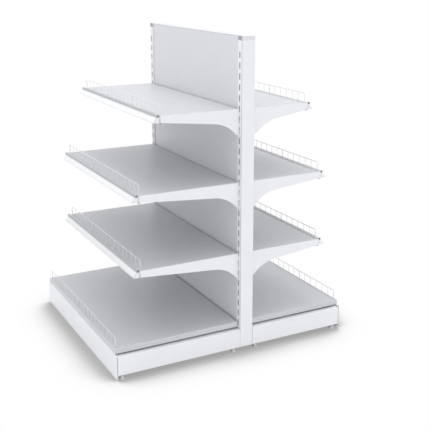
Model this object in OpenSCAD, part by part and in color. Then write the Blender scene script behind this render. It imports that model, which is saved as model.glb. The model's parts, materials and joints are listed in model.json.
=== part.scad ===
// Gondola shelving: a double sided shop display bay with shelves on both sides
// Frame: X along the bay, Y across it, Z up, floor at zero, origin under the middle

/* [Bay] */
// Distance between the centre lines of the two uprights
bay_w = 1000; // [700:10:1250]
// Height of the top of the upright tubes above the floor
post_top = 1515; // [1500:1:2000]
// Height of the base shelf surface
base_level = 150; // [146:1:160]
// Slots from the lowest one up to the surface of the lowest hung shelf
first_slots = 9; // [8:1:10]
// Slots from one hung shelf to the next one
level_slots = 7; // [6:1:7]

/* [Left side depths] */
// Base shelf depth from the upright face
left_base_d = 640; // [500:1:700]
// Depth of the two lower hung shelves with their price rails
left_mid_d = 541; // [300:1:600]
// Depth of the top shelf with its price rail
left_top_d = 432; // [300:1:500]

/* [Right side depths] */
// Base shelf depth from the upright face
right_base_d = 520; // [400:1:700]
// Depth of the two lower hung shelves with their price rails
right_mid_d = 425; // [300:1:600]
// Depth of the top shelf with its price rail
right_top_d = 339; // [260:1:500]

/* [Upright] */
// Width of the slotted face
post_x = 40; // [34:1:44]
// Depth of the tube across the bay
post_y = 70; // [64:1:90]
// Wall of the tube
post_wall = 2; // [1.5:0.5:3]
// Outer radius of the tube corners
post_corner = 4; // [3.5:0.5:6]
// Distance between slot centres
slot_pitch = 50; // [50:1:50]
// Height of the centre of the lowest slot
slot_first = 50; // [50:1:50]
// Slot width
slot_w = 5.5; // [5:0.1:7]
// Slot height
slot_h = 28; // [27:0.5:30]
// Solid length of tube kept above the last slot
slot_end = 35; // [30:1:80]
// Height of the visible part of the top cap
cap_h = 22; // [20:1:30]

/* [Leg and feet] */
// Underside of legs and uprights above the floor
leg_z0 = 25; // [22:1:34]
// Height of the leg
leg_h = 91; // [88:1:92]
// Sheet thickness of the leg
leg_wall = 2; // [1.5:0.5:3]
// Outer bend radius of the leg
leg_bend = 4; // [3.5:0.5:6]
// Radius of the foot pad
pad_r = 14; // [10:1:15]
// Thickness of the foot pad
pad_h = 9; // [5:1:10]
// Radius of the foot screw
stem_r = 5; // [4:0.5:6]
// Distance of a foot from the end of its leg
foot_inset = 26; // [22:1:40]

/* [Shelf sheet] */
// Sheet thickness of the hung shelves
sheet = 1.2; // [0.8:0.1:2]
// Sheet thickness of the base shelf
base_sheet = 1.5; // [1:0.1:2]
// Outer bend radius of shelves and panels
bend = 3; // [2.5:0.5:4]
// Height of the side folds
side_fold = 25; // [22:1:30]
// Height of the front face of a hung shelf
front_fold = 36; // [30:1:40]
// Height of the front lip of the base shelf
lip_fold = 24; // [20:1:25]
// Depth of the returned edges
return_fold = 12; // [8:1:16]

/* [Bracket] */
// Thickness of the bracket plate
brk_t = 2; // [2:0.1:2.3]
// Height of the bracket against the upright
brk_h = 120; // [116:1:130]
// Height where the curve meets the taper
brk_mid = 60; // [54:1:66]
// Height of the bracket at its front end
brk_tip = 31; // [28:1:34]
// Distance from the upright to the end of the curve
brk_run = 128; // [110:1:140]
// Radius of the studs that carry the shelf
stud_r = 4; // [3:0.5:5]

/* [Front parts] */
// Length of the sloping label strip of the price rail
strip_len = 36; // [30:1:38]
// Angle between the label strip and the vertical
strip_tilt = 36; // [20:1:45]
// Wall of the price rail
rail_wall = 1.5; // [1.2:0.1:2]
// Outer radius of the round edge tube of the price rail
bead_r = 6; // [5:0.5:7]
// Height of the wire riser above the shelf
riser_h = 48; // [30:1:80]
// Wire radius of the riser frame
wire_r = 1.6; // [1.4:0.1:2.5]
// Wire radius of the upright wires
fine_r = 1; // [0.8:0.1:1.4]
// Gaps between the upright wires
riser_gaps = 18; // [12:3:24]

/* [Hidden] */
round_fn = 48;
gap = 0.3;
slip = 0.08;
bite = 0.5;
over = 1;
half_bay = bay_w / 2;
half_x = post_x / 2;
face_y = post_y / 2;
level_pitch = level_slots * slot_pitch;
first_level = slot_first + first_slots * slot_pitch;
levels = [base_level, first_level, first_level + level_pitch, first_level + 2 * level_pitch];
slot_n = floor((post_top - slot_end - slot_first) / slot_pitch) + 1;
leg_top = leg_z0 + leg_h;
side_shift = (left_base_d - right_base_d) / 2;
left_d = [left_base_d, left_mid_d, left_mid_d, left_top_d];
right_d = [right_base_d, right_mid_d, right_mid_d, right_top_d];
hook_drop = 7;
hook_t = 6;
hook_neck = 16;
hook_low = 2 * slot_pitch;
hook_high = slot_pitch;
slot_r = slot_w / 2;
hook_seat = slot_r - sqrt(slot_r * slot_r - (brk_t + gap) * (brk_t + gap)) + slip;
brk_out = half_bay - gap;
brk_in = brk_out - brk_t;
tray_half = brk_in - 2 * gap;
stud_len = 9;
stud_z = 14;
stud_rear = 60;
stud_front = 60;
back_clear = 2;
kick_back = 1.5;
kick_t = 1.2;
kick_z0 = 3;
kick_gap = 3;
kick_top = base_level - lip_fold - kick_gap;
kick_fold = 16;
kick_tab_w = 44;
panel_t = 1;
panel_fold = 14;
panel_back = 5;
panel_end = half_bay - half_x - bite;
rail_bar_h = 40;
rail_bar_wall = 2;
panel_rise = 16;
panel_z0 = leg_top + panel_rise;
seam_drop = 9;
panel_mid = levels[2] - seam_drop;
panel_sink = 4;
panel_z1 = post_top + cap_h - panel_sink;
inner_y = face_y - panel_back - panel_fold;
rib_w = 40;
rib_h = 16;
pin_len = 12;
riser_in = 7;
riser_end = 14;
riser_half = tray_half - riser_end;
bend_r = 7;
foot_plate_t = 4;
foot_plate_z = 12;
bush_r = 11;
bush_h = 12;
stem_top = 74;
nut_r = 9;
nut_h = 6;
lug_t = 3;
lug_len = 40;
lug_in = 60;
lug_x = 24;
lip_rise = 3.5;
lip_len = 4;
bead_drop = 1;
bead_y = gap + bead_r;
strip_out = bead_y + strip_len * sin(strip_tilt);
strip_low = bead_drop + strip_len * cos(strip_tilt);
rail_reach = strip_out + lip_rise * cos(strip_tilt);
flange_low = strip_low + rail_wall;
notch_w = 7;
notch_h = 14;
notch_in = 8;
notch_up = 3;

white = [0.93, 0.93, 0.95];
soft_white = [0.9, 0.9, 0.92];
cap_grey = [0.35, 0.36, 0.38];
rail_grey = [0.62, 0.63, 0.66];
zinc = [0.7, 0.71, 0.73];

// Placing helpers
module shifted() translate([0, side_shift, 0]) children();

module turned(side) {
  // Side is minus one for the left side and plus one for the right side
  shifted() scale([1, side, 1]) children();
}

module at_end(end_sign) scale([end_sign, 1, 1]) children();

module box(x0, x1, y0, y1, z0, z1) {
  translate([x0, y0, z0]) cube([x1 - x0, y1 - y0, z1 - z0]);
}

// Cutter for one round ended slot through both narrow faces
module round_slot() {
  straight = slot_h / 2 - slot_r;
  box(-slot_r, slot_r, -face_y - over, face_y + over, -straight, straight);
  for (s = [-1, 1]) translate([0, -face_y - over, s * straight]) rotate([-90, 0, 0])
    cylinder(r = slot_r, h = post_y + 2 * over, $fn = round_fn);
}

// Section of a tube or plug with four round corners
module round_section(half_w, half_d, r) {
  square([2 * half_w, 2 * (half_d - r)], center = true);
  square([2 * (half_w - r), 2 * half_d], center = true);
  for (sx = [-1, 1], sy = [-1, 1]) translate([sx * (half_w - r), sy * (half_d - r)])
    circle(r = r, $fn = round_fn);
}

// Section of a sheet body with two bent upper corners
module bent_section(a0, a1, z0, z1, r) {
  translate([a0, z0]) square([a1 - a0, z1 - z0 - r]);
  translate([a0 + r, z0]) square([a1 - a0 - 2 * r, z1 - z0]);
  for (a = [a0 + r, a1 - r]) translate([a, z1 - r]) circle(r = r, $fn = round_fn);
}

// Block whose four upper edges are bent
module bent_block(x0, x1, y0, y1, z0, z1, r) {
  intersection() {
    translate([x0, 0, 0]) rotate([90, 0, 90]) linear_extrude(height = x1 - x0)
      bent_section(y0, y1, z0, z1, r);
    translate([0, y1, 0]) rotate([90, 0, 0]) linear_extrude(height = y1 - y0)
      bent_section(x0, x1, z0, z1, r);
  }
}

// Sheet pan folded down on four sides and open underneath
module folded_pan(x0, x1, y0, y1, z0, z1, t, r) {
  difference() {
    bent_block(x0, x1, y0, y1, z0, z1, r);
    bent_block(x0 + t, x1 - t, y0 + t, y1 - t, z0 - over, z1 - t, r - t);
  }
}

// Section of a front plate with a returned lower edge, face at zero
module lip_section(height, back, t, r) {
  difference() {
    corner_section(height, back, r);
    translate([-t, t]) corner_section(height, back, r - t);
  }
}

module corner_section(height, back, r) {
  translate([-back, 0]) square([back - r, height]);
  translate([-back, r]) square([back, height - r]);
  translate([-r, r]) circle(r = r, $fn = round_fn);
}

// Front plate with a returned lower edge, laid along the bay
module front_lip(half_len, face, low, height, back, t, r) {
  translate([-half_len, face, low]) rotate([90, 0, 90]) linear_extrude(height = 2 * half_len)
    lip_section(height, back, t, r);
}

// Upright tube with a row of slots in both narrow faces
module upright(end_sign) {
  shifted() translate([end_sign * half_bay, 0, 0]) difference() {
    translate([0, 0, leg_z0]) linear_extrude(height = post_top - leg_z0)
      round_section(half_x, face_y, post_corner);
    translate([0, 0, leg_z0 - over]) linear_extrude(height = post_top - leg_z0 + 2 * over)
      round_section(half_x - post_wall, face_y - post_wall, post_corner - post_wall);
    for (k = [0 : slot_n - 1]) translate([0, 0, slot_first + k * slot_pitch]) round_slot();
  }
}

// Plastic cap with a prying notch over each slotted face and a hollow plug inside the tube
module upright_cap(end_sign) {
  plug_x = half_x - post_wall;
  plug_y = face_y - post_wall;
  plug_r = post_corner - post_wall;
  plug_h = 20;
  plug_wall = 3;
  edge_r = 3;
  shifted() translate([end_sign * half_bay, 0, 0]) {
    difference() {
      intersection() {
        translate([0, 0, post_top]) linear_extrude(height = cap_h)
          round_section(half_x, face_y, post_corner);
        bent_block(-half_x, half_x, -face_y, face_y, post_top - over, post_top + cap_h, edge_r);
      }
      for (s = [-1, 1]) scale([1, s, 1])
        box(-notch_w / 2, notch_w / 2, face_y - notch_in, face_y + over, post_top + notch_up,
            post_top + notch_up + notch_h);
    }
    difference() {
      translate([0, 0, post_top - plug_h]) linear_extrude(height = plug_h)
        round_section(plug_x, plug_y, plug_r);
      box(-plug_x + plug_wall, plug_x - plug_wall, -plug_y + plug_wall, plug_y - plug_wall,
          post_top - plug_h - over, post_top - plug_wall);
    }
  }
}

// Hook that passes a slot and drops behind the wall, plate thickness along X
module slot_hook(x0, x1, low, high) {
  rear = face_y - post_wall - gap;
  box(x0, x1, rear - hook_t, face_y + bite, low, high);
  box(x0, x1, rear - hook_t, rear, low - hook_drop, high);
}

// Folded leg, open underneath, with threaded bushes and lugs for the base shelf
module leg(side, end_sign, depth) {
  y0 = face_y;
  y1 = face_y + depth - kick_back - kick_t - kick_gap;
  feet_y = [y0 + foot_inset, y1 - foot_inset];
  turned(side) at_end(end_sign) translate([half_bay, 0, 0]) {
    folded_pan(-half_x, half_x, y0, y1, leg_z0, leg_top, leg_wall, leg_bend);
    for (fy = feet_y) difference() {
      union() {
        box(-half_x + leg_wall, half_x - leg_wall, fy - pad_r, fy + pad_r,
            leg_z0 + foot_plate_z, leg_z0 + foot_plate_z + foot_plate_t);
        translate([0, fy, leg_z0 + foot_plate_z + foot_plate_t])
          cylinder(r = bush_r, h = bush_h, $fn = round_fn);
      }
      translate([0, fy, leg_z0]) cylinder(r = stem_r + slip, h = leg_h - leg_wall - over, $fn = round_fn);
    }
    for (k = [0, 1]) {
      low = slot_first + k * slot_pitch - slot_h / 2 + hook_seat;
      slot_hook(-brk_t - gap, -gap, low, low + hook_neck);
    }
    for (ly = [y0 + lug_in, y1 - lug_in - lug_len]) {
      box(-half_x - lug_x, -half_x - lug_x + lug_t, ly, ly + lug_len, leg_top - leg_wall,
          base_level - base_sheet - gap);
      box(-half_x - lug_x, -half_x + leg_bend, ly, ly + lug_len, leg_top - leg_wall, leg_top);
    }
  }
}

// Levelling foot with pad, nut face and screw
module foot(side, end_sign, depth, front) {
  y0 = face_y;
  y1 = face_y + depth - kick_back - kick_t - kick_gap;
  fy = front ? y1 - foot_inset : y0 + foot_inset;
  pad_rim = 3;
  turned(side) at_end(end_sign) translate([half_bay, fy, 0]) {
    cylinder(r = pad_r, h = pad_rim, $fn = round_fn);
    translate([0, 0, pad_rim]) cylinder(r1 = pad_r, r2 = nut_r, h = pad_h - pad_rim, $fn = round_fn);
    translate([0, 0, pad_h]) cylinder(r = nut_r, h = nut_h, $fn = 6);
    translate([0, 0, pad_h + nut_h]) cylinder(r = stem_r, h = stem_top - pad_h - nut_h, $fn = round_fn);
  }
}

// Plinth plate with folded edges and tabs that lie on the legs
module kickplate(side, depth) {
  out_y = face_y + depth - kick_back;
  end_x = half_bay + half_x;
  hem = 2 * kick_gap;
  turned(side) {
    box(-end_x, end_x, out_y - kick_t, out_y, kick_z0, kick_top);
    box(-half_bay + half_x + hem, half_bay - half_x - hem, out_y - kick_fold, out_y - bite, kick_z0,
        kick_z0 + kick_t);
    box(-half_bay + half_x + hem, half_bay - half_x - hem, out_y - kick_fold, out_y - bite,
        kick_top - kick_t, kick_top);
    for (s = [-1, 1]) at_end(s)
      box(half_bay - half_x, half_bay - half_x + kick_tab_w - 4 * hem, out_y - 2 * kick_fold,
          out_y - bite, leg_top + gap, leg_top + gap + kick_t);
  }
}

// Holes that take the pins of the wire riser
module riser_holes(level, hole_y) {
  for (px = [-riser_half, -riser_half / 3, riser_half / 3, riser_half])
    translate([px, hole_y, level - 2 * pin_len])
      cylinder(r = wire_r + slip, h = 4 * pin_len, $fn = round_fn);
}

// Folded base shelf that rests on the lugs of the legs
module base_tray(side, depth) {
  y0 = face_y + back_clear;
  y1 = face_y + depth;
  x1 = half_bay - 2 * gap;
  low = base_level - side_fold;
  turned(side) difference() {
    union() {
      folded_pan(-x1, x1, y0, y1, low, base_level, base_sheet, bend);
      front_lip(x1 - bite, y1, low, side_fold - bend, return_fold, base_sheet, bend);
      for (ry = [depth / 3, 2 * depth / 3]) for (s = [-1, 1])
        box(-x1 + lug_x + 2 * lug_len, x1 - lug_x - 2 * lug_len, face_y + ry + s * rib_w / 2,
            face_y + ry + s * rib_w / 2 + base_sheet, base_level - rib_h, base_level - bite);
    }
    riser_holes(base_level, y1 - base_sheet - riser_in - wire_r);
  }
}

// Folded shelf whose side folds have open notches that drop over the bracket studs
module tray(side, level, depth) {
  y0 = face_y + back_clear;
  y1 = face_y + depth - rail_reach;
  low = level - side_fold;
  seat_r = stud_r + gap;
  turned(side) difference() {
    union() {
      folded_pan(-tray_half, tray_half, y0, y1, low, level, sheet, bend);
      front_lip(tray_half, y1, level - front_fold, front_fold - bend, return_fold, sheet, bend);
      for (s = [-1, 1])
        box(-tray_half + 2 * rib_w, tray_half - 2 * rib_w, face_y + depth / 2 + s * rib_w / 2,
            face_y + depth / 2 + s * rib_w / 2 + sheet, level - rib_h, level - bite);
      box(-tray_half + 2 * rib_w, tray_half - 2 * rib_w, face_y + depth / 2 - rib_w / 2,
          face_y + depth / 2 + rib_w / 2 + sheet, level - rib_h, level - rib_h + sheet);
    }
    for (ny = [face_y + stud_rear, y1 - stud_front]) {
      box(-half_bay, half_bay, ny - seat_r, ny + seat_r, low - over, level - stud_z);
      translate([-half_bay, ny, level - stud_z]) rotate([0, 90, 0])
        cylinder(r = seat_r, h = bay_w, $fn = round_fn);
    }
    riser_holes(level, y1 - sheet - riser_in - wire_r);
  }
}

// Hooked bracket plate with a curved root, a straight taper and two shelf studs
module bracket(side, end_sign, level, depth) {
  run_end = depth - rail_reach - sheet - back_clear;
  slope = atan((brk_mid - brk_tip) / (run_end - brk_run));
  drop = brk_h - brk_mid;
  arc_r = (brk_run * brk_run + drop * drop) / (2 * drop);
  cut_y = brk_run + arc_r * sin(slope);
  cut_z = -brk_mid - arc_r * cos(slope);
  turned(side) at_end(end_sign) {
    difference() {
      translate([brk_in, face_y, level]) rotate([90, 0, 90]) linear_extrude(height = brk_t)
        polygon([[0, 0], [run_end, 0], [run_end, -brk_tip], [brk_run, -brk_mid],
                 [brk_run, -brk_h], [0, -brk_h]]);
      translate([brk_in - over, face_y + cut_y, level + cut_z]) rotate([0, 90, 0])
        cylinder(r = arc_r, h = brk_t + 2 * over, $fn = 4 * round_fn);
    }
    for (below = [hook_low, hook_high]) {
      low = level - below - slot_h / 2 + hook_seat;
      slot_hook(brk_in, brk_out, low, low + hook_neck);
    }
    for (ny = [face_y + stud_rear, face_y + depth - rail_reach - stud_front])
      translate([brk_in - stud_len, ny, level - stud_z]) rotate([0, 90, 0])
        cylinder(r = stud_r, h = stud_len + bite, $fn = round_fn);
  }
}

// Section of the price rail: round edge tube, flange, sloping label strip with lips, closing web
module rail_section() {
  difference() {
    union() {
      translate([bead_y, -bead_drop]) circle(r = bead_r, $fn = round_fn);
      translate([gap, -flange_low]) square([rail_wall, flange_low - bead_drop]);
      translate([gap, -flange_low]) square([strip_out - gap, rail_wall]);
      translate([bead_y, -bead_drop]) rotate([0, 0, strip_tilt - 90]) {
        translate([0, -rail_wall / 2]) square([strip_len, rail_wall]);
        translate([strip_len - rail_wall, -rail_wall / 2]) square([rail_wall, lip_rise + rail_wall / 2]);
        translate([strip_len - lip_len, lip_rise - rail_wall]) square([lip_len, rail_wall]);
        translate([0, lip_rise - rail_wall]) square([bead_r + lip_len, rail_wall]);
      }
    }
    translate([bead_y, -bead_drop]) circle(r = bead_r - rail_wall, $fn = round_fn);
  }
}

// Price rail with a round upper edge and a label strip that slopes outward
module price_rail(side, level, depth) {
  end_cut = 1;
  half_len = tray_half - end_cut;
  turned(side) translate([-half_len, face_y + depth - rail_reach, level]) rotate([90, 0, 90])
    linear_extrude(height = 2 * half_len) rail_section();
}

// Wire riser with bent end posts, pins, a foot wire and thin upright wires
module wire_riser(side, level, wire_y) {
  top_z = level + riser_h - wire_r;
  foot_z = level + fine_r + gap;
  turned(side) translate([0, wire_y, 0]) {
    translate([-riser_half + bend_r, 0, top_z]) rotate([0, 90, 0])
      cylinder(r = wire_r, h = 2 * riser_half - 2 * bend_r, $fn = round_fn);
    for (s = [-1, 1]) scale([s, 1, 1]) {
      translate([riser_half, 0, level - pin_len])
        cylinder(r = wire_r, h = top_z - bend_r - level + pin_len, $fn = round_fn);
      translate([riser_half - bend_r, 0, top_z - bend_r]) rotate([90, 0, 0])
        rotate_extrude(angle = 90, $fn = round_fn) translate([bend_r, 0]) circle(r = wire_r);
      translate([riser_half / 3, 0, level - pin_len])
        cylinder(r = wire_r, h = top_z - level + pin_len, $fn = round_fn);
    }
    translate([-riser_half, 0, foot_z]) rotate([0, 90, 0])
      cylinder(r = fine_r, h = 2 * riser_half, $fn = round_fn);
    for (k = [1 : riser_gaps - 1])
      if (k % (riser_gaps / 3) > 0)
        translate([-riser_half + k * 2 * riser_half / riser_gaps, 0, foot_z])
          cylinder(r = fine_r, h = top_z - foot_z, $fn = round_fn);
  }
}

// Back panel with four folded edges
module panel(side, z0, z1) {
  y1 = face_y - panel_back;
  turned(side) rotate([-90, 0, 0])
    folded_pan(-panel_end, panel_end, -z1, -z0, y1 - panel_fold, y1, panel_t, bend);
}

// Channel between the uprights that carries the lower panels
module lower_rail() {
  end_x = half_bay - half_x;
  y1 = face_y - panel_back;
  shifted() difference() {
    box(-end_x, end_x, -y1, y1, panel_z0 - rail_bar_h, panel_z0);
    box(-end_x - over, end_x + over, -y1 + rail_bar_wall, y1 - rail_bar_wall, panel_z0 - rail_bar_h - over,
        panel_z0 - rail_bar_wall);
  }
}

// Channel between the uprights that closes the top of the panels
module upper_rail() {
  end_x = half_bay - half_x;
  y1 = face_y - panel_back;
  shifted() {
    box(-end_x, end_x, -y1, y1, panel_z1, panel_z1 + rail_bar_wall);
    for (s = [-1, 1]) scale([1, s, 1])
      box(-end_x, end_x, inner_y - rail_bar_wall, inner_y, post_top - rail_bar_h, panel_z1 + bite);
  }
}

// One module for each piece
module upright_near() color(white) upright(1);
module upright_far() color(white) upright(-1);
module upright_cap_near() color(cap_grey) upright_cap(1);
module upright_cap_far() color(cap_grey) upright_cap(-1);
module lower_rail_bar() color(soft_white) lower_rail();
module upper_rail_bar() color(soft_white) upper_rail();
module back_panel_left_low() color(soft_white) panel(-1, panel_z0, panel_mid);
module back_panel_left_high() color(soft_white) panel(-1, panel_mid, panel_z1);
module back_panel_right_low() color(soft_white) panel(1, panel_z0, panel_mid);
module back_panel_right_high() color(soft_white) panel(1, panel_mid, panel_z1);
module base_leg_left_near() color(white) leg(-1, 1, left_base_d);
module base_leg_left_far() color(white) leg(-1, -1, left_base_d);
module base_leg_right_near() color(white) leg(1, 1, right_base_d);
module base_leg_right_far() color(white) leg(1, -1, right_base_d);
module foot_left_near_front() color(zinc) foot(-1, 1, left_base_d, true);
module foot_left_near_rear() color(zinc) foot(-1, 1, left_base_d, false);
module foot_left_far_front() color(zinc) foot(-1, -1, left_base_d, true);
module foot_left_far_rear() color(zinc) foot(-1, -1, left_base_d, false);
module foot_right_near_front() color(zinc) foot(1, 1, right_base_d, true);
module foot_right_near_rear() color(zinc) foot(1, 1, right_base_d, false);
module foot_right_far_front() color(zinc) foot(1, -1, right_base_d, true);
module foot_right_far_rear() color(zinc) foot(1, -1, right_base_d, false);
module kickplate_left() color(white) kickplate(-1, left_base_d);
module kickplate_right() color(white) kickplate(1, right_base_d);
module base_shelf_left() color(soft_white) base_tray(-1, left_base_d);
module base_shelf_right() color(soft_white) base_tray(1, right_base_d);
module shelf_left_1() color(soft_white) tray(-1, levels[1], left_d[1]);
module shelf_left_2() color(soft_white) tray(-1, levels[2], left_d[2]);
module shelf_left_3() color(soft_white) tray(-1, levels[3], left_d[3]);
module shelf_right_1() color(soft_white) tray(1, levels[1], right_d[1]);
module shelf_right_2() color(soft_white) tray(1, levels[2], right_d[2]);
module shelf_right_3() color(soft_white) tray(1, levels[3], right_d[3]);
module bracket_left_1_near() color(white) bracket(-1, 1, levels[1], left_d[1]);
module bracket_left_1_far() color(white) bracket(-1, -1, levels[1], left_d[1]);
module bracket_left_2_near() color(white) bracket(-1, 1, levels[2], left_d[2]);
module bracket_left_2_far() color(white) bracket(-1, -1, levels[2], left_d[2]);
module bracket_left_3_near() color(white) bracket(-1, 1, levels[3], left_d[3]);
module bracket_left_3_far() color(white) bracket(-1, -1, levels[3], left_d[3]);
module bracket_right_1_near() color(white) bracket(1, 1, levels[1], right_d[1]);
module bracket_right_1_far() color(white) bracket(1, -1, levels[1], right_d[1]);
module bracket_right_2_near() color(white) bracket(1, 1, levels[2], right_d[2]);
module bracket_right_2_far() color(white) bracket(1, -1, levels[2], right_d[2]);
module bracket_right_3_near() color(white) bracket(1, 1, levels[3], right_d[3]);
module bracket_right_3_far() color(white) bracket(1, -1, levels[3], right_d[3]);
module price_rail_left_1() color(rail_grey) price_rail(-1, levels[1], left_d[1]);
module price_rail_left_2() color(rail_grey) price_rail(-1, levels[2], left_d[2]);
module price_rail_left_3() color(rail_grey) price_rail(-1, levels[3], left_d[3]);
module price_rail_right_1() color(rail_grey) price_rail(1, levels[1], right_d[1]);
module price_rail_right_2() color(rail_grey) price_rail(1, levels[2], right_d[2]);
module price_rail_right_3() color(rail_grey) price_rail(1, levels[3], right_d[3]);
module riser_left_0() color(zinc)
  wire_riser(-1, levels[0], face_y + left_base_d - base_sheet - riser_in - wire_r);
module riser_left_1() color(zinc)
  wire_riser(-1, levels[1], face_y + left_d[1] - rail_reach - sheet - riser_in - wire_r);
module riser_left_2() color(zinc)
  wire_riser(-1, levels[2], face_y + left_d[2] - rail_reach - sheet - riser_in - wire_r);
module riser_left_3() color(zinc)
  wire_riser(-1, levels[3], face_y + left_d[3] - rail_reach - sheet - riser_in - wire_r);
module riser_right_0() color(zinc)
  wire_riser(1, levels[0], face_y + right_base_d - base_sheet - riser_in - wire_r);
module riser_right_1() color(zinc)
  wire_riser(1, levels[1], face_y + right_d[1] - rail_reach - sheet - riser_in - wire_r);
module riser_right_2() color(zinc)
  wire_riser(1, levels[2], face_y + right_d[2] - rail_reach - sheet - riser_in - wire_r);
module riser_right_3() color(zinc)
  wire_riser(1, levels[3], face_y + right_d[3] - rail_reach - sheet - riser_in - wire_r);

upright_near();
upright_far();
upright_cap_near();
upright_cap_far();
lower_rail_bar();
upper_rail_bar();
back_panel_left_low();
back_panel_left_high();
back_panel_right_low();
back_panel_right_high();
base_leg_left_near();
base_leg_left_far();
base_leg_right_near();
base_leg_right_far();
foot_left_near_front();
foot_left_near_rear();
foot_left_far_front();
foot_left_far_rear();
foot_right_near_front();
foot_right_near_rear();
foot_right_far_front();
foot_right_far_rear();
kickplate_left();
kickplate_right();
base_shelf_left();
base_shelf_right();
shelf_left_1();
shelf_left_2();
shelf_left_3();
shelf_right_1();
shelf_right_2();
shelf_right_3();
bracket_left_1_near();
bracket_left_1_far();
bracket_left_2_near();
bracket_left_2_far();
bracket_left_3_near();
bracket_left_3_far();
bracket_right_1_near();
bracket_right_1_far();
bracket_right_2_near();
bracket_right_2_far();
bracket_right_3_near();
bracket_right_3_far();
price_rail_left_1();
price_rail_left_2();
price_rail_left_3();
price_rail_right_1();
price_rail_right_2();
price_rail_right_3();
riser_left_0();
riser_left_1();
riser_left_2();
riser_left_3();
riser_right_0();
riser_right_1();
riser_right_2();
riser_right_3();
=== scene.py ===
"""Looks, light and camera of the gondola shelving bay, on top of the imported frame."""

import json
import logging
import math
from dataclasses import dataclass
from enum import Enum
from typing import Callable, Iterable, Sequence, Union

import bpy
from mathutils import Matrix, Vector


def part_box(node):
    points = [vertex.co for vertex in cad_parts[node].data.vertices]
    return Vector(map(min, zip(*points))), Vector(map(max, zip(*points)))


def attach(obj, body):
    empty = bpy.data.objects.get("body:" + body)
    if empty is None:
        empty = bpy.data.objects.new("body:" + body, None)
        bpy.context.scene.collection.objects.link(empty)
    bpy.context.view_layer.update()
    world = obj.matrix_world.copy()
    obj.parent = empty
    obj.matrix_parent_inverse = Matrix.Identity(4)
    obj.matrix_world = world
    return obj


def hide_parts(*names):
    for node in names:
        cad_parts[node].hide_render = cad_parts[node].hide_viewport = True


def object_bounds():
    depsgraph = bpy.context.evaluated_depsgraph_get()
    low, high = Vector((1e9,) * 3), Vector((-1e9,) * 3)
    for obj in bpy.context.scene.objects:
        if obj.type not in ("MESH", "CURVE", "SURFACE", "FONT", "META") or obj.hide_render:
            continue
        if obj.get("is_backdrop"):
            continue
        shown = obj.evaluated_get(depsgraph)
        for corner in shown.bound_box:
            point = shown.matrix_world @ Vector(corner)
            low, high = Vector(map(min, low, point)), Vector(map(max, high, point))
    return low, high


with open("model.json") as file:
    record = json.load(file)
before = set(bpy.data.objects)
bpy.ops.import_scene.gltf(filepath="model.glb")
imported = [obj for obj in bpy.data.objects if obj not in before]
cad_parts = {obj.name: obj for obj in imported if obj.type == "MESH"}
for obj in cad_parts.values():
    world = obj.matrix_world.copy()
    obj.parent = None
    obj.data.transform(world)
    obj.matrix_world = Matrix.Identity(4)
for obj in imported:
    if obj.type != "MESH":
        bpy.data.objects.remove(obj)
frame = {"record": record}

LOG = logging.getLogger("gondola")

# A span is a pair of lengths or limits, a grain is features per metre and octaves of a noise.
Colour = tuple[float, float, float]
Place = tuple[float, float, float]
Span = tuple[float, float]
Grain = tuple[float, float]
Socket = bpy.types.NodeSocket
Value = Union[Socket, float]
WHITE: Colour = (1.0, 1.0, 1.0)


class Body(Enum):
    """Families of CAD nodes that share one finish."""

    COATED = ("base_leg", "bracket")
    UPRIGHT = ("upright_near", "upright_far")
    PLINTH = ("kickplate",)
    SHELF = ("shelf", "base_shelf")
    PANEL = ("back_panel", "lower_rail", "upper_rail")
    RAIL = ("price_rail",)
    CAP = ("upright_cap",)
    WIRE = ("riser",)
    FOOT = ("foot",)


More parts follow.
